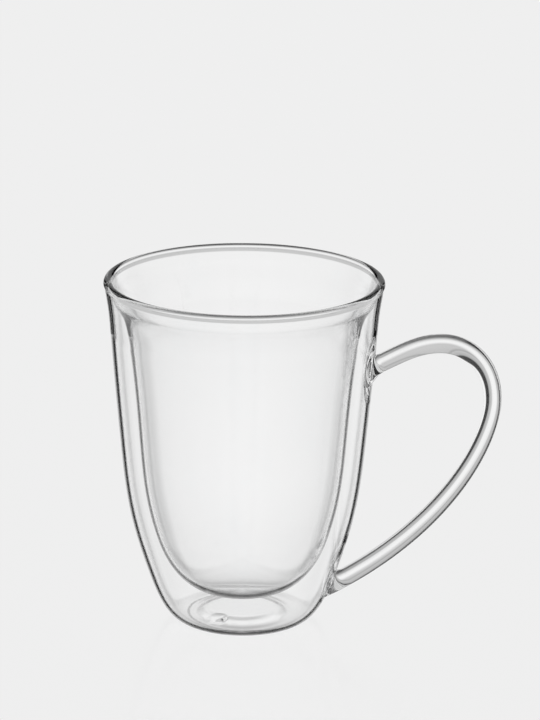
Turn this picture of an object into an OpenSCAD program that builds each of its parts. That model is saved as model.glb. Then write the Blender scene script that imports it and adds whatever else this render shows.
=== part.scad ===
// Double-walled glass mug with a looped rod handle. All sizes are in millimetres.
// The origin is on the mug's axis, in the plane it stands on. The handle points along +X.

/* [Mug] */
// Height of the mug to the top of the lip
mug_h = 117; // [112:1:125]
// Outer diameter over the rounded lip
rim_d = 92; // [91:0.5:94]
// Thickness of the rounded lip
lip_t = 2.9; // [2.6:0.1:3.4]
// Height of the lip above the plane where the two walls meet it
lip_h = 2.5; // [2:0.1:3.5]
// Outer diameter at that plane
neck_d = 91.3; // [90:0.1:92]
// Air gap between the two walls at that plane
neck_gap = 0.3; // [0.2:0.05:0.5]
// Drop over which each wall grows from its thin top to its full thickness
thin_drop = 15; // [8:1:25]

/* [Outer shell] */
// Thickness of the shell's wall and base
shell_t = 1.35; // [1:0.05:1.7]
// Outer diameter of the shell at its waist
waist_d = 80.8; // [79:0.5:84]
// Height of the waist
waist_z = 59; // [54:1:64]
// Outer diameter of the shell where it turns in towards the base
hip_d = 61.9; // [60:0.2:66]
// Height of that turn
hip_z = 15; // [14:0.5:18]
// Outer diameter of the narrow ring that the mug stands on
foot_d = 38.2; // [36:0.2:42]
// Width of the standing ring
foot_w = 2; // [1.5:0.25:3]
// Height of the hollow under the base
punt_h = 1.8; // [1.6:0.1:2.4]

/* [Inner cup] */
// Thickness of the inner cup's wall
cup_t = 1.35; // [0.8:0.05:1.7]
// Air gap between the two walls at the cup's shoulder, below which they part
shoulder_gap = 0.3; // [0.2:0.05:0.5]
// Drop from the top of the lip to the shoulder
shoulder_drop = 6; // [5:0.25:8]
// Air gap between the two walls at the cup's waist
waist_gap = 5.15; // [4:0.05:6.4]
// Height of the cup's waist
cup_waist_z = 75; // [70:1:80]
// Air gap between the two walls where the cup turns in towards its floor
hip_gap = 5.3; // [4:0.02:6.4]
// Height of that turn
cup_hip_z = 30; // [28:1:34]
// Air gap between the cup and the base, on the axis
floor_gap = 5.8; // [4.6:0.1:10]

/* [Handle] */
// Thickness of the rod in the plane of the loop
rod_t = 5.4; // [4.6:0.2:6.4]
// Width of the rod across the loop
rod_w = 8.6; // [7.6:0.2:10]
// Drop from the top of the lip to the place where the rod's upper end meets the wall
upper_drop = 27.5; // [24:0.5:32]
// Distance from that place out to the top of the loop
crest_reach = 23.27; // [20:0.01:27]
// Rise from that place to the rod's middle at the top of the loop
crest_rise = 9.2; // [7:0.1:12]
// Distance from the top of the loop out to its widest place, at the rod's middle
loop_reach = 16.1; // [13:0.1:22]
// Drop from the top of the loop to its widest place
loop_drop = 18.9; // [15:0.1:26]
// Upward lean of the rod as it leaves the wall at its upper end, in degrees
upper_lean = 28.6; // [22:0.2:34]
// Height where the rod's lower end meets the wall
lower_root_z = 12.7; // [12:0.1:20]
// Upward lean of the rod as it leaves the wall at its lower end, in degrees
lower_lean = 31.4; // [26:0.2:38]

/* [Welds] */
// Length of the upper weld from the wall to the end of the rod
upper_reach = 2.8; // [2.4:0.2:5]
// How far the upper weld spreads above and below the rod on the wall
upper_flare_h = 3.3; // [2:0.1:4.5]
// How far the upper weld spreads to each side of the rod
upper_flare_w = 2.1; // [1:0.1:3]
// Length of the lower weld from the wall to the end of the rod
lower_reach = 5.6; // [5:0.2:8]
// Rise of the lower weld's middle above the place where the rod's line meets the wall
lower_pad_rise = 2.3; // [1.5:0.1:4]
// How far the lower weld spreads above and below the rod on the wall
lower_flare_h = 3.5; // [2:0.1:4.5]
// How far the lower weld spreads to each side of the rod
lower_flare_w = 2.7; // [1:0.1:3.5]
// How far the glass behind a weld bulges into the air gap
bulge_t = 2; // [1:0.2:2.4]
// Half height of that bulge on an upright wall
bulge_r = 12; // [9:0.5:13]

/* [Vent] */
// Gap between the drop of glass that closes the vent and the standing ring
vent_edge = 0.3; // [0.2:0.1:1.2]
// Direction of the vent from the handle, in degrees
vent_turn = 241; // [0:1:359]
// Diameter of the vent hole in the base
vent_d = 3.4; // [2.5:0.1:4]
// Diameter of that drop
seal_d = 8; // [6:0.5:9]
// Gap between the drop and the table
seal_gap = 0.4; // [0.2:0.1:0.8]

/* [Hidden] */
$fn = 96;
glass_color = [0.86, 0.9, 0.91, 0.45];
rod_color = [0.8, 0.86, 0.88, 0.6];
seal_color = [0.72, 0.8, 0.83, 0.7];
curve_steps = 14;
lip_steps = 16;
rod_steps = 20;
ring_steps = 12;
weld_steps = 6;

// Lean of the shell at its neck, waist and hip, and of the cup at its neck, shoulder, waist
// and hip: radius gained per unit of height
shell_lean_shares = [0.168, 0.093, 0.352];
cup_lean_shares = [0.17, 0.64, 0.09, 0.312];
// Length of each curve's end handles as a share of that curve's drop, two for each curve.
// The last handle of a wall lies flat, so it is a share of the last curve's run.
shell_pull_shares = [0.266, 0.892, 0.384, 0.409, 0.596, 0.469];
cup_pull_shares = [0.4, 0.15, 0.164, 0.824, 0.47, 0.326, 0.95, 0.4];
// Thickness of each wall at the neck, as a share of its full thickness
neck_share = 0.8;
// The same for the rod, as shares of the run or drop between two of its stations
upper_pull_share = 0.377;
crest_pull_shares = [0.5, 0.66];
side_pull_shares = [0.18, 0.884];
lip_pull_share = 0.3;
lip_straight_share = 0.6;
punt_pull_share = 0.5;
// Inner end of the hollow's curve, as a share of the standing ring's inner radius
punt_flat_share = 0.6;
// Where a weld's flare bends, as a share of its reach, and how deep its hidden end is sunk
flare_share = 0.75;
sink_share = 0.7;

joint_z = mug_h - lip_h;
neck_r = neck_d / 2;
shoulder_z = mug_h - shoulder_drop;
// Radii at the neck of the shell's inner face, the cup's outer face and the cup's inner face
gap_outer_r = neck_r - neck_share * shell_t * slant(shell_lean_shares[0]);
gap_inner_r = gap_outer_r - neck_gap;
cup_neck_r = gap_inner_r - neck_share * cup_t * slant(cup_lean_shares[0]);
lip_r = lip_t / 2;
bead_x = rim_d / 2 - lip_r;
bead_z = mug_h - lip_r;
cup_floor_z = punt_h + shell_t + floor_gap + cup_t;
vent_x = foot_d / 2 - foot_w - vent_edge - seal_d / 2;

// Outer face of the shell from the neck to the standing ring, as [radius, height]
shell_wall = wall_line([[neck_r, joint_z], [waist_d / 2, waist_z], [hip_d / 2, hip_z], [foot_d / 2, 0]],
                       shell_lean_shares, shell_pull_shares);
shell_face = concat(shell_wall, punt_line(foot_d / 2 - foot_w), [[0, punt_h]]);
shell_heights = [for (p = shell_wall) [p[1], p[0]]];
// Inner face of the cup from the neck to the middle of its floor
cup_wall = wall_line([[cup_neck_r, joint_z], [cup_radius(shoulder_z, shoulder_gap), shoulder_z],
                      [cup_radius(cup_waist_z, waist_gap), cup_waist_z],
                      [cup_radius(cup_hip_z, hip_gap), cup_hip_z], [0, cup_floor_z]],
                     cup_lean_shares, cup_pull_shares);

upper_root_z = mug_h - upper_drop;
upper_root = [radius_at(upper_root_z), upper_root_z];
lower_root = [radius_at(lower_root_z), lower_root_z];
crest = upper_root + [crest_reach, crest_rise];
rod_curves = handle_curves(crest, crest + [loop_reach, -loop_drop]);
upper_start = upper_reach / (3 * norm(rod_curves[0][1] - rod_curves[0][0]));
lower_end = 1 - lower_reach / (3 * norm(rod_curves[2][3] - rod_curves[2][2]));
rod_flat = (rod_w - rod_t) / 2;
lower_pad_z = lower_root_z + lower_pad_rise;
lower_bulge_z = lower_pad_z + lower_flare_h;

// Length of a slanted line over its run across
function slant(lean) = sqrt(1 + lean * lean);

function tail(list) = [for (k = [1:len(list) - 1]) list[k]];

function reversed(list) = [for (k = [len(list) - 1:-1:0]) list[k]];

// Point and heading at share t of a cubic curve with the four control points p
function curve_point(p, t) =
    pow(1 - t, 3) * p[0] + 3 * pow(1 - t, 2) * t * p[1] + 3 * (1 - t) * t * t * p[2] + pow(t, 3) * p[3];

function curve_heading(p, t) =
    let (way = pow(1 - t, 2) * (p[1] - p[0]) + 2 * (1 - t) * t * (p[2] - p[1]) + t * t * (p[3] - p[2]))
    way / norm(way);

function curve(p, steps = curve_steps) = [for (k = [0:steps]) curve_point(p, k / steps)];

// Curve between two stations that both lean by their own share
function leaning_curve(a, b, leans, pulls) =
    let (drop = a[1] - b[1])
    curve([a, a - pulls[0] * drop * [leans[0], 1], b + pulls[1] * drop * [leans[1], 1], b]);

// Curve that starts leaning and ends flat, towards the axis
function landing_curve(a, b, lean, pulls) =
    let (drop = a[1] - b[1], run = a[0] - b[0])
    curve([a, a - pulls[0] * drop * [lean, 1], b + [pulls[1] * run, 0], b]);

// A wall's face down through its stations: a leaning curve between each two, then a landing one
function wall_line(stations, leans, pulls) =
    let (last = len(stations) - 2)
    [for (k = [0:last])
        let (ends = [stations[k], stations[k + 1]],
             pull = [pulls[2 * k], pulls[2 * k + 1]],
             line = k < last
                 ? leaning_curve(ends[0], ends[1], [leans[k], leans[k + 1]], pull)
                 : landing_curve(ends[0], ends[1], leans[k], pull))
        each k > 0 ? tail(line) : line];

// Rise of the hollow under the base, from the standing ring's inner edge
function punt_line(r) =
    let (run = r * (1 - punt_flat_share))
    curve([[r, 0], [r - punt_pull_share * run, 0],
           [r - (1 - punt_pull_share) * run, punt_h], [r - run, punt_h]]);

// Share of its full thickness that a wall has at a depth below the neck
function wall_share(depth) = neck_share + (1 - neck_share) * min(1, depth / thin_drop);

// The other face of a wall: each point moved by the wall's thickness t square to the face,
// with the top point at its own radius and the last point on the axis
function skin(face, t, top_r) =
    let (last = len(face) - 1)
    concat([[top_r, face[0][1]]],
           [for (k = [1:last - 1])
               let (way = face[k + 1] - face[k - 1], depth = face[0][1] - face[k][1])
               face[k] + t * wall_share(depth) * [way[1], -way[0]] / norm(way)],
           [[0, face[last][1] + t]]);

// Outer radius of the shell at a height, and the unit direction square to its face there
function radius_at(z) = lookup(z, shell_heights);

// Inner radius of the cup at a height where it keeps an air gap from the shell
function cup_radius(z, gap) = radius_at(z) - shell_t - gap - cup_t;

function face_way(z) =
    let (rise = radius_at(z + shell_t) - radius_at(z - shell_t), way = [2 * shell_t, -rise])
    way / norm(way);

// Control points of the rod's three curves: wall to crest, crest to side, side to wall
function handle_curves(top, side) =
    let (up = upper_pull_share * (top[0] - upper_root[0]),
         over = crest_pull_shares[0] * (side[0] - top[0]),
         down = crest_pull_shares[1] * (top[1] - side[1]),
         under = side_pull_shares[0] * (side[1] - lower_root[1]),
         back = side_pull_shares[1] * (side[0] - lower_root[0]))
    [[upper_root, upper_root + up * [cos(upper_lean), sin(upper_lean)], top - [up, 0], top],
     [top, top + [over, 0], side + [0, down], side],
     [side, side - [0, under], lower_root + back * [cos(lower_lean), sin(lower_lean)], lower_root]];

// Outline of an oblong with round ends, as [along, across] from its middle
function oblong(half_h, half_w, flat) =
    [for (side = [1, -1], k = [0:ring_steps])
        let (turn = 180 * k / ring_steps)
        side * [half_h * cos(turn), (half_w - flat) * sin(turn) + flat]];

// The rod's outline square to its curve at share t, as points in space
function rod_ring(p, t) =
    let (middle = curve_point(p, t), way = curve_heading(p, t), off = [-way[1], way[0]])
    [for (q = oblong(rod_t / 2, rod_w / 2, rod_flat))
        [middle[0] + q[0] * off[0], q[1], middle[1] + q[0] * off[1]]];

// A weld's outline on the wall, sunk a little below the shell's outer face.
// It runs the same way round as the rod's outline at the end it belongs to.
function pad_ring(z, flare_h, flare_w, upright) =
    [for (q = oblong(rod_t / 2 + flare_h, rod_w / 2 + flare_w, rod_flat))
        let (level = z + upright * q[0], r = radius_at(level), turn = q[1] / r * 180 / PI)
        [(r - sink_share * shell_t) * cos(turn), (r - sink_share * shell_t) * sin(turn), level]];

// Closed solid through rings of points, with the same number of points in each
module ring_solid(rings) {
    count = len(rings[0]);
    last = len(rings) - 1;
    sides = [for (k = [0:last - 1], j = [0:count - 1])
        let (n = (j + 1) % count)
        each [[k * count + j, k * count + n, (k + 1) * count + n],
              [k * count + j, (k + 1) * count + n, (k + 1) * count + j]]];
    first_cap = [for (j = [count - 1:-1:0]) j];
    last_cap = [for (j = [0:count - 1]) last * count + j];
    polyhedron([for (ring = rings) each ring], concat(sides, [first_cap, last_cap]));
}

// Solid inside the shell's outer face, with nothing hollow
module shell_body() {
    rotate_extrude() polygon(concat([[0, joint_z]], shell_face));
}

// Dome of glass that a weld pushes into the air gap: a shallow cap of a large ball
module bulge(z) {
    ball_r = (bulge_r * bulge_r + bulge_t * bulge_t) / (2 * bulge_t);
    depth = ball_r - shell_t - bulge_t;
    way = face_way(z);
    translate([radius_at(z) + depth * way[0], 0, z + depth * way[1]]) sphere(r = ball_r);
}

// Inner vessel that holds the drink
module inner_cup() {
    color(glass_color) rotate_extrude() polygon(concat(cup_wall, reversed(skin(cup_wall, -cup_t, gap_inner_r))));
}

// Outer vessel with its base, the bulges behind the welds, and the vent hole
module outer_shell() {
    color(glass_color) difference() {
        union() {
            rotate_extrude() polygon(concat(shell_face, reversed(skin(shell_face, shell_t, gap_outer_r))));
            intersection() {
                shell_body();
                union() {
                    bulge(upper_root_z);
                    bulge(lower_bulge_z);
                }
            }
        }
        rotate([0, 0, vent_turn]) translate([vent_x, 0, 0])
            cylinder(d = vent_d, h = 2 * (punt_h + shell_t));
    }
}

// Ring of glass where both walls are melted together, rounded over at the top
module rim_lip() {
    rise = bead_z - joint_z;
    inner = curve([[cup_neck_r, joint_z],
                   [cup_neck_r + lip_pull_share * rise * cup_lean_shares[0], joint_z + lip_pull_share * rise],
                   [bead_x - lip_r, bead_z - lip_straight_share * rise],
                   [bead_x - lip_r, bead_z]]);
    bead = [for (k = [1:lip_steps - 1])
        let (turn = 180 - 180 * k / lip_steps)
        [bead_x + lip_r * cos(turn), bead_z + lip_r * sin(turn)]];
    outer = curve([[bead_x + lip_r, bead_z],
                   [bead_x + lip_r, bead_z - lip_pull_share * rise],
                   [neck_r + lip_pull_share * rise * shell_lean_shares[0], joint_z + lip_pull_share * rise],
                   [neck_r, joint_z]]);
    color(glass_color) rotate_extrude() polygon(concat(inner, bead, outer));
}

// Looped solid rod
module handle_rod() {
    first = [for (k = [0:rod_steps]) rod_ring(rod_curves[0], upper_start + (1 - upper_start) * k / rod_steps)];
    second = [for (k = [1:rod_steps]) rod_ring(rod_curves[1], k / rod_steps)];
    third = [for (k = [1:rod_steps]) rod_ring(rod_curves[2], lower_end * k / rod_steps)];
    color(rod_color) ring_solid(concat(first, second, third));
}

// Flare of melted glass from one end of the rod to an oblong pad on the wall.
// Every point of the rod's end runs to its own point of the pad on a curve with one bend.
module weld(end_ring, inward, reach, pad) {
    bend = [for (p = end_ring) p + flare_share * reach * inward];
    color(rod_color) difference() {
        ring_solid([for (k = [0:weld_steps])
            let (t = k / weld_steps)
            [for (j = [0:len(pad) - 1])
                pow(1 - t, 2) * end_ring[j] + 2 * (1 - t) * t * bend[j] + t * t * pad[j]]]);
        shell_body();
    }
}

module upper_handle_weld() {
    way = curve_heading(rod_curves[0], upper_start);
    weld(rod_ring(rod_curves[0], upper_start), [-way[0], 0, -way[1]], upper_reach,
         pad_ring(upper_root_z, upper_flare_h, upper_flare_w, 1));
}

module lower_handle_weld() {
    way = curve_heading(rod_curves[2], lower_end);
    weld(rod_ring(rod_curves[2], lower_end), [way[0], 0, way[1]], lower_reach,
         pad_ring(lower_pad_z, lower_flare_h, lower_flare_w, -1));
}

// Drop of glass that closes the vent: a shallow bead under the base with a stem in the hole
module vent_seal() {
    drop_t = punt_h - seal_gap;
    bead = [for (k = [0:lip_steps])
        let (turn = 90 * k / lip_steps)
        [seal_d / 2 * sin(turn), punt_h - drop_t * cos(turn)]];
    color(seal_color) rotate([0, 0, vent_turn]) translate([vent_x, 0, 0]) {
        difference() {
            rotate_extrude() polygon(concat([[0, punt_h]], bead));
            translate([-vent_x, 0, 0]) shell_body();
        }
        translate([0, 0, punt_h / 2]) cylinder(d = vent_d, h = punt_h / 2 + shell_t);
    }
}

inner_cup();
outer_shell();
rim_lip();
handle_rod();
upper_handle_weld();
lower_handle_weld();
vent_seal();
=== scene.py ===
import math

import bmesh
import bpy
import numpy as np
from mathutils import Matrix, Vector


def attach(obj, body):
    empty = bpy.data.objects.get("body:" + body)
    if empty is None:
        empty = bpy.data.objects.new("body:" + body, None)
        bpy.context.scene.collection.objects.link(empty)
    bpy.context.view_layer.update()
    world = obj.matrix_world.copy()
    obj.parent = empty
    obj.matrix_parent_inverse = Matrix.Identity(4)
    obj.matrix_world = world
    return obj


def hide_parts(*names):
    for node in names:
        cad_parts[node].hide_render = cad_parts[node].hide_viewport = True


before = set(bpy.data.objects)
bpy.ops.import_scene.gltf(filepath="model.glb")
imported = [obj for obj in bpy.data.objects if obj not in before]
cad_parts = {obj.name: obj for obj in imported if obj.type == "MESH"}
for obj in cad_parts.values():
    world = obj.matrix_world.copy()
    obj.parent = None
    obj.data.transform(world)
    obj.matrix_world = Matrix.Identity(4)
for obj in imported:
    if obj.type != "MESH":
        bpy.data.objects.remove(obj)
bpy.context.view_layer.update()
scene = bpy.context.scene
mm = 0.001
fullTurn = 2 * math.pi
print("frame loaded:", sorted(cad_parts))

# Both walls: their thickness near the neck as a share of the full one, the height over which it
# shrinks, and the gap between the walls at the neck, in millimetres as all the pieces' sizes are
wall = {"neckShare": 0.8, "thinDrop": 15.0, "neckGap": 0.3, "curvePoints": 400}
# Meshes: points closer than merge and edges shorter than tiny are joined, both in metres
joining = {"merge": 2e-7, "tiny": 1e-8, "foldDegrees": 35}


def bezier(points, t):
    # the four control points weighted by the cubic Bernstein shares of t
    p = np.asarray(points, float)
    t = np.asarray(t, float)[:, None]
    return (1 - t) ** 3 * p[0] + 3 * (1 - t) ** 2 * t * p[1] + 3 * (1 - t) * t * t * p[2] + t ** 3 * p[3]


def distancesAlong(line):
    # how far each point lies along the line from its first one
    return np.concatenate([[0], np.cumsum(np.linalg.norm(np.diff(line, axis=0), axis=1))])


def pointsAt(line, distances):
    # places on the line at these distances from its first point
    along = distancesAlong(line)
    return np.stack([np.interp(distances, along, line[:, k]) for k in range(line.shape[1])], 1)


def evenly(line, count):
    # the same line with count points at equal distances along it
    return pointsAt(line, np.linspace(0, distancesAlong(line)[-1], count))


def wallLine(stations, leans, pulls, count):
    # joined curves down through the stations, each leaning by its share; the last one lands flat
    stations = [np.array(s, float) for s in stations]
    t = np.linspace(0, 1, wall["curvePoints"])
    parts = []
    for k, (top, foot) in enumerate(zip(stations[:-1], stations[1:])):
        run, drop = top - foot
        start = top - pulls[2 * k] * drop * np.array([leans[k], 1.0])
        if k == len(stations) - 2:
            end = foot + [pulls[2 * k + 1] * run, 0]
        else:
            end = foot + pulls[2 * k + 1] * drop * np.array([leans[k + 1], 1.0])
        parts.append(bezier([top, start, end, foot], t)[min(k, 1):])
    return evenly(np.concatenate(parts), count)


def skin(line, thickness, topR):
    # each point moved square to the line by the wall's thickness, which shrinks towards the neck;
    # the top point stays level at its own radius, and the last point stays on the axis
    way = np.gradient(line, axis=0)
    way /= np.linalg.norm(way, axis=1)[:, None]
    share = np.interp(line[0, 1] - line[:, 1], [0, wall["thinDrop"]], [wall["neckShare"], 1])
    out = line + (thickness * share)[:, None] * np.stack([way[:, 1], -way[:, 0]], 1)
    out[0] = topR, line[0, 1]
    out[-1] = line[-1, 0], line[-1, 1] + thickness
    return out[out[:, 1] <= line[0, 1]]


def revolve(profile, around):
    # grid of points: profile (radius, height) turned about Z; rows follow the profile
    turn = np.linspace(0, fullTurn, around, endpoint=False)
    r, z = profile[:, 0][:, None], profile[:, 1][:, None]
    return np.stack([r * np.cos(turn), r * np.sin(turn), np.broadcast_to(z, (len(profile), around))], 2)


def between(first, last, rings):
    # grid of rings that go evenly from one closed curve, or one point, to another
    s = np.linspace(0, 1, rings)[:, None, None]
    return (1 - s) * first + s * last


class Build:
    # gathers grids of points and quads with a material number each, then makes one mesh; drawn is
    # each point's place for the pattern in the glass, which is the point itself if none is given
    def __init__(self):
        self.points, self.drawn, self.faces, self.slots, self.count = [], [], [], [], 0

    def add(self, grid, slot=0, flip=False, keep=None, drawn=None):
        # quads between the rows of a grid whose last column joins its first,
        # and keep is false at the quads that a window leaves out
        rows, cols = grid.shape[:2]
        index = self.count + np.arange(rows * cols).reshape(rows, cols)
        right = np.roll(index, -1, axis=1)
        quads = np.stack([index[:-1], right[:-1], right[1:], index[1:]], 2).reshape(-1, 4)
        if keep is not None:
            quads = quads[keep.reshape(-1)]
        self.points.append(grid.reshape(-1, 3))
        self.drawn.append((grid if drawn is None else drawn).reshape(-1, 3))
        self.faces.append(quads[:, ::-1] if flip else quads)
        self.slots.append(np.full(len(quads), slot))
        self.count += rows * cols

    def mesh(self, name, materials):
        # doubles are merged, so seams and poles close, and shading is smooth up to a fold's angle
        data = bpy.data.meshes.new(name)
        data.from_pydata((np.concatenate(self.points) * mm).tolist(), [], np.concatenate(self.faces).tolist())
        for material in materials:
            data.materials.append(material)
        data.polygons.foreach_set("material_index", np.concatenate(self.slots).astype(np.int32))
        place = data.attributes.new("drawn", "FLOAT_VECTOR", "POINT")
        place.data.foreach_set("vector", (np.concatenate(self.drawn) * mm).astype(np.float32).reshape(-1))
        data.update()
        work = bmesh.new()
        work.from_mesh(data)
        bmesh.ops.remove_doubles(work, verts=work.verts, dist=joining["merge"])
        bmesh.ops.dissolve_degenerate(work, dist=joining["tiny"], edges=work.edges)
        work.to_mesh(data)
        work.free()
        data.polygons.foreach_set("use_smooth", np.ones(len(data.polygons), bool))
        data.set_sharp_from_angle(angle=math.radians(joining["foldDegrees"]))
        piece = bpy.data.objects.new(name, data)
        scene.collection.objects.link(piece)
        return piece


# Materials: clear glass, with one shared group for its slow swell, fine streaks and thin haze

wallFinish = {"deepTint": (0.994, 0.996, 0.997), "stretch": (1.0, 1.0, 0.35), "swell": 90.0, "streak": 420.0,
              "haze": 0.02, "rise": 0.000006, "followsPiece": False}
rodFinish = {"deepTint": (0.985, 0.988, 0.99), "stretch": (1.0, 1.0, 0.06), "swell": 260.0, "streak": 900.0,
             "haze": 0.02, "rise": 0.00002, "followsPiece": True}
weldFinish = {"deepTint": (0.98, 0.984, 0.986), "stretch": (1.0, 1.0, 0.5), "swell": 260.0, "streak": 700.0,
              "haze": 0.04, "rise": 0.0003, "followsPiece": True}
glassIor = 1.47
# Noise detail, the fine noise's share of the height, and the noise values that tint and haze run between
pattern = {"slowDetail": 1.5, "fineDetail": 2.0, "spotDetail": 3.0, "fineShare": 0.14,
           "tint": (0.45, 0.75), "haze": (0.66, 0.8)}


def glassSurface():
    # height is a slow noise plus a seventh of a fine one; the slow one also moves the tint from
    # clear to the deep tint, and haze comes only in spots where a third noise is near its top
    group = bpy.data.node_groups.new("glass surface", "ShaderNodeTree")
    for name, inOut, kind in (("Place", "INPUT", "Vector"), ("Swell", "INPUT", "Float"),
                              ("Streak", "INPUT", "Float"), ("Haze", "INPUT", "Float"),
                              ("Deep Tint", "INPUT", "Color"), ("Tint", "OUTPUT", "Color"),
                              ("Roughness", "OUTPUT", "Float"), ("Height", "OUTPUT", "Float")):
        group.interface.new_socket(name=name, in_out=inOut, socket_type="NodeSocket" + kind)
    link = group.links.new
    given = group.nodes.new("NodeGroupInput")
    result = group.nodes.new("NodeGroupOutput")
    slow, fine, spots = (group.nodes.new("ShaderNodeTexNoise") for _ in range(3))
    for noise, scale, detail in ((slow, "Swell", "slowDetail"), (fine, "Streak", "fineDetail"),
                                 (spots, "Streak", "spotDetail")):
        link(given.outputs["Place"], noise.inputs["Vector"])
        link(given.outputs[scale], noise.inputs["Scale"])
        noise.inputs["Detail"].default_value = pattern[detail]
    height = group.nodes.new("ShaderNodeMath")
    height.operation = "MULTIPLY_ADD"
    height.inputs[1].default_value = pattern["fineShare"]
    link(fine.outputs["Fac"], height.inputs[0])
    link(slow.outputs["Fac"], height.inputs[2])
    link(height.outputs[0], result.inputs["Height"])
    depth = group.nodes.new("ShaderNodeMapRange")
    depth.interpolation_type = "SMOOTHSTEP"
    depth.inputs["From Min"].default_value, depth.inputs["From Max"].default_value = pattern["tint"]
    link(slow.outputs["Fac"], depth.inputs["Value"])
    tint = group.nodes.new("ShaderNodeMix")
    tint.data_type = "RGBA"
    tint.inputs["A"].default_value = (1, 1, 1, 1)
    link(depth.outputs[0], tint.inputs["Factor"])
    link(given.outputs["Deep Tint"], tint.inputs["B"])
    link(tint.outputs["Result"], result.inputs["Tint"])
    haze = group.nodes.new("ShaderNodeMapRange")
    haze.inputs["From Min"].default_value, haze.inputs["From Max"].default_value = pattern["haze"]
    link(spots.outputs["Fac"], haze.inputs["Value"])
    link(given.outputs["Haze"], haze.inputs["To Max"])
    link(haze.outputs[0], result.inputs["Roughness"])
    return group


def emptyMaterial(name):
    # a material whose node tree holds only its output
    material = bpy.data.materials.new(name)
    material.use_nodes = True
    tree = material.node_tree
    tree.nodes.clear()
    out = tree.nodes.new("ShaderNodeOutputMaterial")
    return material, tree.nodes.new, tree.links.new, out.inputs["Surface"]


surfaceGroup = glassSurface()


def glassMaterial(name, finish):
    # borosilicate glass whose pattern follows the object, or the piece's own drawn attribute
    material, new, link, surfaceIn = emptyMaterial(name)
    bsdf = new("ShaderNodeBsdfPrincipled")
    bsdf.inputs["IOR"].default_value = glassIor
    bsdf.inputs["Transmission Weight"].default_value = 1.0
    if finish["followsPiece"]:
        place = new("ShaderNodeAttribute")
        place.attribute_name = "drawn"
        source = place.outputs["Vector"]
    else:
        source = new("ShaderNodeTexCoord").outputs["Object"]
    stretch = new("ShaderNodeMapping")
    stretch.inputs["Scale"].default_value = finish["stretch"]
    surface = new("ShaderNodeGroup")
    surface.node_tree = surfaceGroup
    for key, socket in (("swell", "Swell"), ("streak", "Streak"), ("haze", "Haze")):
        surface.inputs[socket].default_value = finish[key]
    surface.inputs["Deep Tint"].default_value = (*finish["deepTint"], 1)
    bump = new("ShaderNodeBump")
    bump.inputs["Strength"].default_value = 1.0
    bump.inputs["Distance"].default_value = finish["rise"]
    link(source, stretch.inputs["Vector"])
    link(stretch.outputs[0], surface.inputs["Place"])
    link(surface.outputs["Tint"], bsdf.inputs["Base Color"])
    link(surface.outputs["Roughness"], bsdf.inputs["Roughness"])
    link(surface.outputs["Height"], bump.inputs["Height"])
    link(bump.outputs[0], bsdf.inputs["Normal"])
    link(bsdf.outputs[0], surfaceIn)
    return material


def fusedMaterial(name):
    # face where two pieces are melted together: light goes straight through it
    material, new, link, surfaceIn = emptyMaterial(name)
    link(new("ShaderNodeBsdfTransparent").outputs[0], surfaceIn)
    return material


wallGlass = glassMaterial("wall glass", wallFinish)
rodGlass = glassMaterial("rod glass", rodFinish)
weldGlass = glassMaterial("weld glass", weldFinish)
fused = fusedMaterial("fused joint")
print("materials made")

# Outer shell: its outer face from the joint under the lip down to the base ring. The other pieces
# are fitted to this line, and the shell's own mesh is made after the welds
shell = {
    "height": 117.0, "lipHeight": 2.5, "neckR": 45.65, "thick": 1.35,
    "waist": (40.4, 59.0), "hip": (30.95, 15.0), "footR": 19.1, "footWidth": 2.0, "punt": 1.8,
    "leans": (0.168, 0.093, 0.352), "pulls": (0.266, 0.892, 0.384, 0.409, 0.596, 0.469),
    "puntPull": 0.5, "puntFlat": 0.6, "around": 240, "rows": 150,
    "wallPoints": 900, "hollowPoints": 60, "facePoints": 1400, "weldRows": 90,
}
jointZ = shell["height"] - shell["lipHeight"]
shellWall = wallLine([(shell["neckR"], jointZ), shell["waist"], shell["hip"], (shell["footR"], 0)],
                     shell["leans"], shell["pulls"], shell["wallPoints"])


def neckWidth(piece):
    # how wide a wall is at the neck when cut level: its thinned thickness times its slant
    return wall["neckShare"] * piece["thick"] * math.hypot(1, piece["leans"][0])


def radiusAt(z):
    # radius of the shell's outer face at a height
    return np.interp(z, shellWall[::-1, 1], shellWall[::-1, 0])


# Inner cup: inner face, outer face and the flat joint under the lip
cup = {
    "thick": 1.35, "shoulder": (42.076, 111.0), "waist": (33.994, 75.0), "hip": (27.684, 30.0), "floor": 10.3,
    "leans": (0.17, 0.64, 0.09, 0.312), "pulls": (0.4, 0.15, 0.164, 0.824, 0.47, 0.326, 0.95, 0.4),
    "around": 240, "rows": 190,
}
gapOuterR = shell["neckR"] - neckWidth(shell)
gapInnerR = gapOuterR - wall["neckGap"]
cupNeckR = gapInnerR - neckWidth(cup)
cupFace = wallLine([(cupNeckR, jointZ), cup["shoulder"], cup["waist"], cup["hip"], (0, cup["floor"])],
                   cup["leans"], cup["pulls"], cup["rows"])
cupBack = skin(cupFace, -cup["thick"], gapInnerR)
build = Build()
build.add(revolve(cupFace, cup["around"]))
build.add(revolve(cupBack, cup["around"]), flip=True)
build.add(revolve(np.array([cupFace[0], cupBack[0]]), cup["around"]), slot=1, flip=True)
innerCup = build.mesh("innerCup", [wallGlass, fused])
print("inner cup made")

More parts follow.
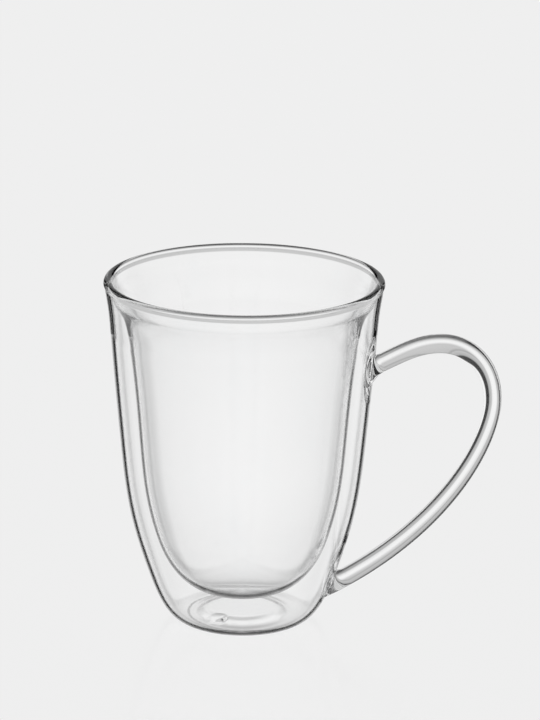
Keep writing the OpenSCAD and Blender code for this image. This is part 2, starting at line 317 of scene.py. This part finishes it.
# Rim lip: from the joint up the drinking side, over the bead and down the outer side, with the gap
# between the two walls closed by half an ellipse
lip = {"rimR": 46.0, "thick": 2.9, "pull": 0.3, "straight": 0.6, "arch": 0.9, "around": 240,
       "sidePoints": 24, "beadPoints": 33, "archPoints": 17}
lipR = lip["thick"] / 2
beadR, beadZ = lip["rimR"] - lipR, shell["height"] - lipR
rise = beadZ - jointZ
pullZ = jointZ + lip["pull"] * rise
t = np.linspace(0, 1, lip["sidePoints"])
inner = bezier([(cupNeckR, jointZ), (cupNeckR + lip["pull"] * rise * cup["leans"][0], pullZ),
                (beadR - lipR, beadZ - lip["straight"] * rise), (beadR - lipR, beadZ)], t)
a = np.linspace(math.pi, 0, lip["beadPoints"])[1:-1]
bead = np.stack([beadR + lipR * np.cos(a), beadZ + lipR * np.sin(a)], 1)
outer = bezier([(beadR + lipR, beadZ), (beadR + lipR, beadZ - lip["pull"] * rise),
                (shell["neckR"] + lip["pull"] * rise * shell["leans"][0], pullZ),
                (shell["neckR"], jointZ)], t)
lipLine = np.concatenate([inner, bead, outer])
a = np.linspace(0, math.pi, lip["archPoints"])
arch = np.stack([gapInnerR + wall["neckGap"] * (1 + np.cos(a)) / 2, jointZ + lip["arch"] * np.sin(a)], 1)
build = Build()
for profile, slot in ((lipLine, 0), (np.array([lipLine[-1], [gapOuterR, jointZ]]), 1),
                      (arch, 0), (np.array([[gapInnerR, jointZ], lipLine[0]]), 1)):
    build.add(revolve(profile, lip["around"]), slot=slot, flip=True)
rimLip = build.mesh("rimLip", [wallGlass, fused])
print("rim lip made")

# Handle rod: an oblong outline carried along three joined curves, from one weld to the other
rod = {
    "thick": 5.4, "width": 8.6, "loop": (82.424, 79.8), "crest": (66.324, 98.7),
    "upperRoot": 89.5, "upperLean": 28.6, "lowerRoot": 12.7, "lowerLean": 31.4,
    "upperPull": 0.377, "crestPulls": (0.5, 0.66), "sidePulls": (0.18, 0.884),
    "around": 80, "rows": 180, "linePoints": 500, "step": 0.05,
}
# Welds: how far each reaches from the wall along the rod, its pad on the wall, the height of the bulge
# behind it, and half of the rows and columns that its window takes from the shell's outer face
upperWeld = {"reach": 2.8, "padZ": 89.5, "halfH": 6.0, "halfW": 6.4, "bulgeZ": 89.5, "window": (10, 10)}
lowerWeld = {"reach": 5.6, "padZ": 15.0, "halfH": 6.2, "halfW": 7.0, "bulgeZ": 18.5, "window": (8, 12)}
weld = {"flare": 0.75, "bulge": 2.0, "bulgeHalfH": 12.0, "bulgeHalfW": 9.0, "bulgeFade": 1.5,
        "rows": 30, "capRings": 2, "padRings": 8}


def oblong(halfH, halfW, flat, count):
    # round ends with a straight stretch of twice flat between them, as (along, across)
    half = count // 2
    turn = np.concatenate([np.linspace(0, math.pi, half), np.linspace(math.pi, fullTurn, half)])
    side = np.repeat([1.0, -1.0], half)
    return np.stack([halfH * np.cos(turn), (halfW - flat) * np.sin(turn) + flat * side], 1)


def heading(degrees):
    # the way from the wall out and up at this angle
    return np.array([math.cos(math.radians(degrees)), math.sin(math.radians(degrees))])


rodFlat = (rod["width"] - rod["thick"]) / 2
upperRoot = np.array([radiusAt(rod["upperRoot"]), rod["upperRoot"]])
lowerRoot = np.array([radiusAt(rod["lowerRoot"]), rod["lowerRoot"]])
crest, loop = np.array(rod["crest"]), np.array(rod["loop"])
up = rod["upperPull"] * (crest[0] - upperRoot[0])
over = rod["crestPulls"][0] * (loop[0] - crest[0])
down = rod["crestPulls"][1] * (crest[1] - loop[1])
under = rod["sidePulls"][0] * (loop[1] - lowerRoot[1])
back = rod["sidePulls"][1] * (loop[0] - lowerRoot[0])
t = np.linspace(0, 1, rod["linePoints"])
rodLine = np.concatenate([
    bezier([upperRoot, upperRoot + up * heading(rod["upperLean"]), crest - [up, 0], crest], t),
    bezier([crest, crest + [over, 0], loop + [0, down], loop], t)[1:],
    bezier([loop, loop - [0, under], lowerRoot + back * heading(rod["lowerLean"]), lowerRoot], t)[1:]])


def rodRings(distances):
    # rings of the rod's outline square to its line at these distances from the upper root, with
    # their places in the rod as it was drawn: the outline's own two and the distance
    middle = pointsAt(rodLine, distances)
    way = pointsAt(rodLine, distances + rod["step"]) - pointsAt(rodLine, distances - rod["step"])
    way /= np.linalg.norm(way, axis=1)[:, None]
    off = np.stack([-way[:, 1], way[:, 0]], 1)
    q = oblong(rod["thick"] / 2, rod["width"] / 2, rodFlat, rod["around"])
    x = middle[:, None, 0] + q[None, :, 0] * off[:, None, 0]
    z = middle[:, None, 1] + q[None, :, 0] * off[:, None, 1]
    across = np.broadcast_to(q[None], (*x.shape, 2))
    distance = np.broadcast_to(distances[:, None, None], (*x.shape, 1))
    return np.stack([x, across[..., 1], z], 2), way, np.concatenate([across, distance], 2)


def capGrid(ring, rings):
    # rings from a closed outline in to its middle point
    return between(ring, ring.mean(0), rings)


rodEnd = distancesAlong(rodLine)[-1]
rings, ways, drawn = rodRings(np.linspace(upperWeld["reach"], rodEnd - lowerWeld["reach"], rod["rows"]))
build = Build()
build.add(rings, flip=True, drawn=drawn)
for end, flip in ((0, False), (-1, True)):
    cap, capDrawn = capGrid(rings[end], weld["capRings"]), capGrid(drawn[end], weld["capRings"])
    build.add(cap, slot=1, flip=flip, drawn=capDrawn)
handleRod = build.mesh("handleRod", [rodGlass, fused])
print("handle rod made")


def padCurve(part, upright):
    # oblong pad outline on the wall as (turn about the axis, height)
    q = oblong(part["halfH"], part["halfW"], rodFlat, rod["around"])
    z = part["padZ"] + upright * q[:, 0]
    return np.stack([q[:, 1] / radiusAt(z), z], 1)


def onWall(pairs):
    # places on the shell's outer face from (turn, height) pairs
    r = radiusAt(pairs[..., 1])
    return np.stack([r * np.cos(pairs[..., 0]), r * np.sin(pairs[..., 0]), pairs[..., 1]], -1)


def makeWeld(name, part, ring, ringDrawn, inward, upright):
    # every point of the rod's end runs to its own point of the pad on a curve with one bend, which
    # lies ahead of the rod's end by the flare's share of the reach
    pad = padCurve(part, upright)
    bend = ring + weld["flare"] * part["reach"] * inward
    s = np.linspace(0, 1, weld["rows"])[:, None, None]
    side = (1 - s) ** 2 * ring + 2 * (1 - s) * s * bend + s * s * onWall(pad)
    reach = np.array([0, 0, -upright * part["reach"]])
    flip = upright < 0
    build = Build()
    build.add(side, flip=flip, drawn=ringDrawn + s * reach)
    build.add(capGrid(ring, weld["capRings"]), slot=1, flip=not flip,
              drawn=capGrid(ringDrawn, weld["capRings"]))
    build.add(onWall(between(pad, [0.0, part["padZ"]], weld["padRings"])), slot=1, flip=flip,
              drawn=capGrid(ringDrawn + reach, weld["padRings"])[::-1])
    return build.mesh(name, [weldGlass, fused])


upperHandleWeld = makeWeld("upperHandleWeld", upperWeld, rings[0], drawn[0],
                           np.array([-ways[0][0], 0, -ways[0][1]]), 1)
lowerHandleWeld = makeWeld("lowerHandleWeld", lowerWeld, rings[-1], drawn[-1],
                           np.array([ways[-1][0], 0, ways[-1][1]]), -1)
print("welds made")

# Vent: the place and size of the drop that closes it and its window in the shell's outer face. The gap
# is left under the drop's middle, and rows within the slack of the hollow's top count as the base's
vent = {"x": 12.8, "turn": math.radians(241), "size": 7.4, "gap": 0.85, "swell": 1.3,
        "window": (6, 15), "rows": 24, "slack": 0.1}
# Outer shell's mesh: outer face and base with a window for each weld and for the vent, and inner
# face with a bulge behind each weld
footInnerR = shell["footR"] - shell["footWidth"]
puntFlatR = shell["puntFlat"] * footInnerR
puntPullR = footInnerR - shell["puntPull"] * (footInnerR - puntFlatR)
hollow = bezier([(footInnerR, 0), (puntPullR, 0), (puntPullR, shell["punt"]), (puntFlatR, shell["punt"])],
                np.linspace(0, 1, shell["hollowPoints"]))
hollow = np.concatenate([hollow, [[0, shell["punt"]]]])
shellLine = np.concatenate([shellWall, hollow])
underLine = np.concatenate([[[shell["footR"], 0]], hollow])[::-1]
build = Build()
outerRows = evenly(shellLine, shell["rows"])
outerRows[0] = shellLine[0]
outerGrid = revolve(outerRows, shell["around"])
keep = np.ones((shell["rows"] - 1, shell["around"]), bool)


def onBase(pairs):
    # places on the base's underside from (turn, radius) pairs
    r = pairs[..., 1]
    z = np.interp(r, underLine[:, 0], underLine[:, 1])
    return np.stack([r * np.cos(pairs[..., 0]), r * np.sin(pairs[..., 0]), z], -1)


def cutWindow(middle, column, halfRows, halfCols, upright, foot, hub, place, axis):
    # leaves out a block of the outer face, fills it with rings from the closed curve foot to the block's
    # edge, and closes the curve with a fused disc, where the other piece is melted on; the curve has as
    # many points as the edge, which is four times the sum of halfRows and halfCols
    cols = column + np.arange(-halfCols, halfCols + 1)
    keep[middle - halfRows:middle + halfRows, cols[:-1] % shell["around"]] = False
    rows = middle + upright * np.arange(-halfRows, halfRows + 1)
    edge = np.concatenate([
        np.stack([np.full(halfCols, rows[0]), cols[halfCols:-1]], 1),
        np.stack([rows[:-1], np.full(2 * halfRows, cols[-1])], 1),
        np.stack([np.full(2 * halfCols, rows[-1]), cols[:0:-1]], 1),
        np.stack([rows[:0:-1], np.full(2 * halfRows, cols[0])], 1),
        np.stack([np.full(halfCols, rows[0]), cols[:halfCols]], 1)])
    edgePairs = np.stack([edge[:, 1] * fullTurn / shell["around"], outerRows[edge[:, 0], axis]], 1)
    ring = place(between(foot, edgePairs, weld["padRings"]))
    ring[-1] = outerGrid[edge[:, 0], edge[:, 1] % shell["around"]]
    build.add(ring, flip=upright < 0)
    build.add(place(between(hub, foot, weld["padRings"])), slot=1, flip=upright < 0)


def sealCircle(radius, count):
    # circle about the vent as (turn, radius) pairs about the axis, from its outermost point round
    a = np.linspace(0, fullTurn, count, endpoint=False)
    out, side = vent["x"] + radius * np.cos(a), radius * np.sin(a)
    return np.stack([vent["turn"] + np.arctan2(side, out), np.hypot(out, side)], -1)


# A weld's window is looked for in the first weldRows rows only. The lower pad's own row comes after
# them, so its window lies above the pad, and the rings between the two fold over the outer face
for part, upright in ((upperWeld, 1), (lowerWeld, -1)):
    middle = int(np.argmin(np.abs(outerRows[:shell["weldRows"], 1] - part["padZ"])))
    cutWindow(middle, 0, *part["window"], upright, padCurve(part, upright), [0.0, part["padZ"]], onWall, 1)
baseRadii = np.where(outerRows[:, 1] < shell["punt"] + vent["slack"], outerRows[:, 0], 0)
middle = int(np.argmin(np.abs(baseRadii - vent["x"])))
column = round(vent["turn"] / fullTurn * shell["around"])
sealFoot = sealCircle(vent["size"] / 2, 4 * sum(vent["window"]))
ventPair = np.array([vent["turn"], vent["x"]])
cutWindow(middle, column, *vent["window"], 1, sealFoot, ventPair, onBase, 0)
build.add(outerGrid, flip=True, keep=keep)
backRows = evenly(skin(evenly(shellLine, shell["facePoints"]), shell["thick"], gapOuterR), shell["rows"])
backGrid = revolve(backRows, shell["around"])
turn = np.arctan2(backGrid[..., 1], backGrid[..., 0])
for part in (upperWeld, lowerWeld):
    # the bulge falls from its middle as 1 - across * across - upward * upward, to the power of its fade
    across = turn * np.hypot(backGrid[..., 0], backGrid[..., 1]) / weld["bulgeHalfW"]
    upward = (backGrid[..., 2] - part["bulgeZ"]) / weld["bulgeHalfH"]
    inset = weld["bulge"] * np.clip(1 - across ** 2 - upward ** 2, 0, 1) ** weld["bulgeFade"]
    backGrid[..., 0] -= inset * np.cos(turn)
    backGrid[..., 1] -= inset * np.sin(turn)
build.add(backGrid)
build.add(revolve(np.array([outerRows[0], backRows[0]]), shell["around"]), slot=1)
outerShell = build.mesh("outerShell", [wallGlass, fused])
print("outer shell made")

# Vent seal: a drop whose height is the base's underside times 1 - drop * (1 - s * s) to the power of
# its swell, with s from 0 at its middle to 1 at its edge
s = np.linspace(0, 1, vent["rows"])[:, None]
disc = onBase(between(ventPair, sealFoot, vent["rows"]))
dome = disc.copy()
drop = 1 - vent["gap"] / disc[0, 0, 2]
dome[..., 2] *= 1 - drop * (1 - s ** 2) ** vent["swell"]
build = Build()
build.add(dome)
build.add(disc, slot=1, flip=True)
ventSeal = build.mesh("ventSeal", [weldGlass, fused])
print("vent seal made")

for piece, node, slot in ((innerCup, "inner_cup", "wall_glass"), (outerShell, "outer_shell", "wall_glass"),
                          (rimLip, "rim_lip", "wall_glass"), (handleRod, "handle_rod", "rod_glass"),
                          (upperHandleWeld, "upper_handle_weld", "rod_glass"),
                          (lowerHandleWeld, "lower_handle_weld", "rod_glass"),
                          (ventSeal, "vent_seal", "rod_glass")):
    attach(piece, "root")
    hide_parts(node)

# Camera, from a fit of the lip, both sides, the base and the handle in the 540 by 720 frame; places
# are in millimetres and angles in degrees
view = {"turn": 10.0, "side": 8.598, "away": 1028.44, "up": 399.06, "pitch": 16.772, "roll": 0.56,
        "focalPx": 3269.0, "tallPx": 720, "sensor": 36.0}
cam = bpy.data.cameras.new("camera")
cam.sensor_width = view["sensor"]
cam.lens = view["focalPx"] * view["sensor"] / view["tallPx"]
camera = bpy.data.objects.new("camera", cam)
scene.collection.objects.link(camera)
turnZ = Matrix.Rotation(math.radians(view["turn"]), 4, "Z")
place = turnZ @ Matrix.Translation(Vector((view["side"], -view["away"], view["up"])) * mm)
camera.matrix_world = (place @ Matrix.Rotation(math.radians(90 - view["pitch"]), 4, "X")
                       @ Matrix.Rotation(math.radians(view["roll"]), 4, "Z"))
scene.camera = camera

# World: a bright backdrop straight behind the mug, dark flags beside it and bright sides. Brightness is
# a curve over the angle round from the backdrop, times a curve over the height that has its own form
# before the backdrop, at the flags and beyond them; angles in degrees
studio = {
    "around": [(0, 1.0), (7, 0.96), (9.5, 0.62), (13, 0.52), (16.8, 0.46), (18, 0.25), (19.2, 0.01),
               (29.2, 0.01), (30.4, 1.05), (36, 1.15), (44, 1.1), (54, 0.85), (64, 0.65), (80, 0.75),
               (120, 0.95), (180, 0.95)],
    "backdrop": [(-90, 0.95), (-75, 0.8), (-66, 0.25), (-60, 0.08), (-47, 0.03), (-41, 0.1), (-36, 0.3),
                 (-31, 0.52), (-27, 0.78), (-23, 0.96), (-19, 1.0), (-16, 0.97), (-13, 0.8), (-9, 0.6),
                 (-4, 0.62), (1, 0.8), (4, 0.4), (7, 0.1), (11, 0.1), (14, 0.6), (20, 0.7), (30, 0.6),
                 (45, 0.45), (90, 0.4)],
    "flags": [(-90, 1.6), (-66, 0.5), (-55, 0.1), (-40, 0.2), (-33, 0.9), (-19, 1.0), (0, 1.0), (30, 0.8),
              (90, 0.8)],
    "sides": [(-90, 1.0), (-60, 0.85), (-40, 0.85), (-25, 0.95), (-12, 0.9), (10, 0.8), (25, 0.65),
              (45, 0.5), (90, 0.8)],
    "backdropEdge": (9.0, 11.5), "flagEdge": (29.0, 31.0), "level": 0.935, "seen": 0.863,
    "firstBounce": 1.5,
}
world = bpy.data.worlds.new("studio")
scene.world = world
world.use_nodes = True
tree = world.node_tree
tree.nodes.clear()
link = tree.links.new
worldOut = tree.nodes.new("ShaderNodeOutputWorld")
background = tree.nodes.new("ShaderNodeBackground")
background.inputs["Color"].default_value = (1, 1, 1, 1)
link(background.outputs[0], worldOut.inputs[0])
coord = tree.nodes.new("ShaderNodeTexCoord")
aim = tree.nodes.new("ShaderNodeMapping")
aim.vector_type = "TEXTURE"
aim.inputs["Rotation"].default_value = (0, 0, math.radians(view["turn"]))
parts = tree.nodes.new("ShaderNodeSeparateXYZ")
link(coord.outputs["Generated"], aim.inputs[0])
link(aim.outputs[0], parts.inputs[0])


def worldMath(operation, *values):
    # one math node on numbers or sockets
    node = tree.nodes.new("ShaderNodeMath")
    node.operation = operation
    for socket, value in zip(node.inputs, values):
        if isinstance(value, (int, float)):
            socket.default_value = value
        else:
            link(value, socket)
    return node.outputs[0]


def band(value, stops):
    # brightness along one angle, straight lines between the stops; the ramp holds a share of the peak
    low, high = stops[0][0], stops[-1][0]
    peak = max(level for _, level in stops)
    spread = tree.nodes.new("ShaderNodeMapRange")
    spread.inputs["From Min"].default_value = low
    spread.inputs["From Max"].default_value = high
    link(value, spread.inputs["Value"])
    ramp = tree.nodes.new("ShaderNodeValToRGB")
    link(spread.outputs[0], ramp.inputs[0])
    marks = ramp.color_ramp.elements
    while len(marks) > 1:
        marks.remove(marks[-1])
    for k, (angle, level) in enumerate(stops):
        mark = marks[0] if k == 0 else marks.new(0.5)
        mark.position = (angle - low) / (high - low)
        mark.color = (level / peak, level / peak, level / peak, 1)
    return worldMath("MULTIPLY", ramp.outputs[0], peak)


def blend(first, second, value, edge):
    # from the first to the second as the value passes the edge's two angles
    share = tree.nodes.new("ShaderNodeMapRange")
    share.interpolation_type = "SMOOTHSTEP"
    share.inputs["From Min"].default_value, share.inputs["From Max"].default_value = edge
    link(value, share.inputs["Value"])
    mix = tree.nodes.new("ShaderNodeMix")
    link(share.outputs[0], mix.inputs["Factor"])
    link(first, mix.inputs["A"])
    link(second, mix.inputs["B"])
    return mix.outputs[0]


degreesInOne = math.degrees(1)
bearing = worldMath("MULTIPLY", worldMath("ARCTAN2", parts.outputs[0], parts.outputs[1]), degreesInOne)
azimuth = worldMath("ABSOLUTE", bearing)
elevation = worldMath("MULTIPLY", worldMath("ARCSINE", parts.outputs[2]), degreesInOne)
height = blend(band(elevation, studio["backdrop"]), band(elevation, studio["flags"]),
               azimuth, studio["backdropEdge"])
height = blend(height, band(elevation, studio["sides"]), azimuth, studio["flagEdge"])
light = worldMath("MULTIPLY", worldMath("MULTIPLY", band(azimuth, studio["around"]), height), studio["level"])
# The camera sees the plain backdrop, and so does the floor's soft mirror: a first blurred glossy ray
path = tree.nodes.new("ShaderNodeLightPath")
unsharp = worldMath("SUBTRACT", 1, path.outputs["Is Singular Ray"])
first = worldMath("LESS_THAN", path.outputs["Ray Depth"], studio["firstBounce"])
mirrored = worldMath("MULTIPLY", worldMath("MULTIPLY", path.outputs["Is Glossy Ray"], unsharp), first)
plain = worldMath("MAXIMUM", path.outputs["Is Camera Ray"], mirrored)
mix = tree.nodes.new("ShaderNodeMix")
link(plain, mix.inputs["Factor"])
link(light, mix.inputs["A"])
mix.inputs["B"].default_value = studio["seen"]
link(mix.outputs[0], background.inputs["Strength"])
print("studio made")

# Floor: the backdrop's colour to the camera with a faint soft mirror of the mug, clear to all other
# rays; its reach is in metres
ground = {"reach": 30.0, "mirror": 0.1, "blur": 0.16, "glow": 0.9}
floorData = bpy.data.meshes.new("floor")
corners = ((-1, -1), (1, -1), (1, 1), (-1, 1))
floorData.from_pydata([(ground["reach"] * x, ground["reach"] * y, 0) for x, y in corners], [], [(0, 1, 2, 3)])
floor = bpy.data.objects.new("floor", floorData)
scene.collection.objects.link(floor)
paleFloor, floorNode, floorLink, floorSurface = emptyMaterial("pale floor")
glow = floorNode("ShaderNodeEmission")
glow.inputs["Color"].default_value = (ground["glow"], ground["glow"], ground["glow"], 1)
mirror = floorNode("ShaderNodeBsdfGlossy")
mirror.inputs["Color"].default_value = (1, 1, 1, 1)
mirror.inputs["Roughness"].default_value = ground["blur"]
sheen = floorNode("ShaderNodeMixShader")
sheen.inputs[0].default_value = ground["mirror"]
choice = floorNode("ShaderNodeMixShader")
floorLink(glow.outputs[0], sheen.inputs[1])
floorLink(mirror.outputs[0], sheen.inputs[2])
floorLink(floorNode("ShaderNodeLightPath").outputs["Is Camera Ray"], choice.inputs[0])
floorLink(floorNode("ShaderNodeBsdfTransparent").outputs[0], choice.inputs[1])
floorLink(sheen.outputs[0], choice.inputs[2])
floorLink(choice.outputs[0], floorSurface)
floorData.materials.append(paleFloor)
print("floor made")

bounces = {"all": 32, "glossy": 12}
scene.view_settings.view_transform = "Standard"
scene.cycles.max_bounces = bounces["all"]
scene.cycles.transmission_bounces = bounces["all"]
scene.cycles.transparent_max_bounces = bounces["all"]
scene.cycles.glossy_bounces = bounces["glossy"]
